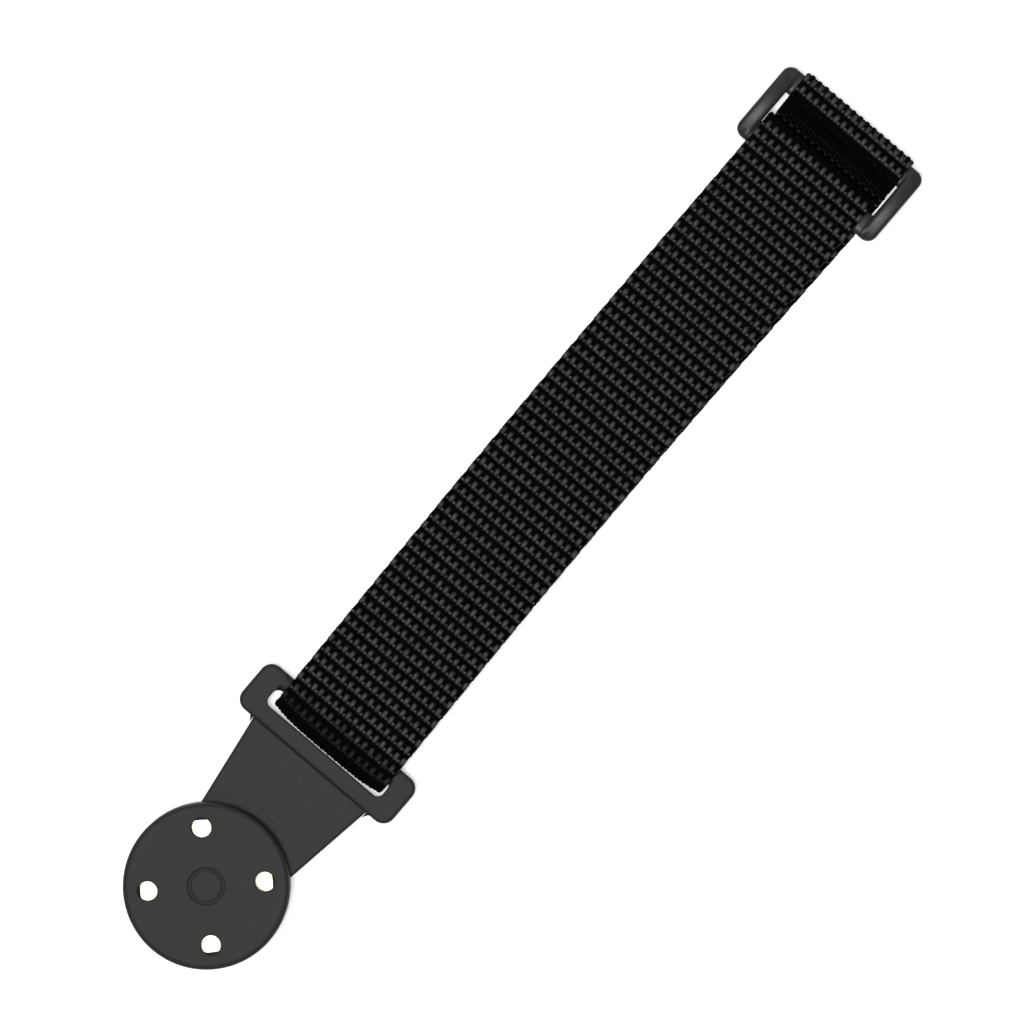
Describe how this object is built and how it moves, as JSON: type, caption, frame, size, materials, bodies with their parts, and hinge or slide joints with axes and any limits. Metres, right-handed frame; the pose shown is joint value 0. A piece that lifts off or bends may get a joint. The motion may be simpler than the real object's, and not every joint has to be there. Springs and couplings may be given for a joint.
{
  "type": "magnetic meter hanging strap",
  "caption": "Doubled woven webbing strap that joins a moulded hanger with a round pot magnet to a rectangular ring, for hanging a handheld test meter from steel.",
  "frame": {"origin": "centre of the magnet housing's flat contact face", "axes": "+X from the magnet along the strap to the ring, +Y across the webbing, +Z out of the windowed face"},
  "size_m": [0.2363, 0.0428, 0.009],
  "materials": {
    "hanger_plastic": "fine moulded grain",
    "cover_plastic": "fine moulded grain",
    "ring_plastic": "moulded, slightly worn edges",
    "nickel_plate": "dull nickel plate",
    "magnet": "sintered, dark",
    "spacer_plastic": "cast resin",
    "webbing": "coarse plain-weave webbing",
    "tape": "hook and loop pile",
    "thread": "twisted polyester thread"
  },
  "bodies": {
    "hanger": {"hanger_body": "hanger_plastic", "magnet_cup": "nickel_plate", "disc_magnet": "magnet", "spacer_ring": "spacer_plastic", "back_cover": "cover_plastic"},
    "strap_fold": {"webbing_fold": "webbing"},
    "strap_lower": {"webbing_front_lower": "webbing", "webbing_back_lower": "webbing"},
    "strap_middle": {"webbing_front_middle": "webbing", "webbing_back_middle": "webbing"},
    "strap_upper": {"webbing_front_upper": "webbing", "webbing_back_upper": "webbing", "loop_tape": "tape", "hook_tape": "tape", "loop_tape_stitching": "thread", "hook_tape_stitching": "thread"},
    "ring": {"strap_ring": "ring_plastic", "webbing_eye": "webbing", "eye_bartack": "thread"}
  },
  "joints": [
    {"name": "strap_swing", "type": "hinge", "parent": "hanger", "child": "strap_fold", "pos_m": [0.04425, 0, 0.00355], "axis": [0, -1, 0], "range_deg": [-115, 115]},
    {"name": "strap_bend_lower", "type": "hinge", "parent": "strap_fold", "child": "strap_lower", "pos_m": [0.075, 0, 0.00355], "axis": [0, -1, 0], "range_deg": [-40, 40]},
    {"name": "strap_bend_middle", "type": "hinge", "parent": "strap_lower", "child": "strap_middle", "pos_m": [0.11, 0, 0.00355], "axis": [0, -1, 0], "range_deg": [-40, 40]},
    {"name": "strap_bend_upper", "type": "hinge", "parent": "strap_middle", "child": "strap_upper", "pos_m": [0.145, 0, 0.00355], "axis": [0, -1, 0], "range_deg": [-40, 40]},
    {"name": "ring_tilt", "type": "hinge", "parent": "strap_upper", "child": "ring", "pos_m": [0.2006, 0, 0.00505], "axis": [0, -1, 0], "range_deg": [-8, 8]}
  ]
}
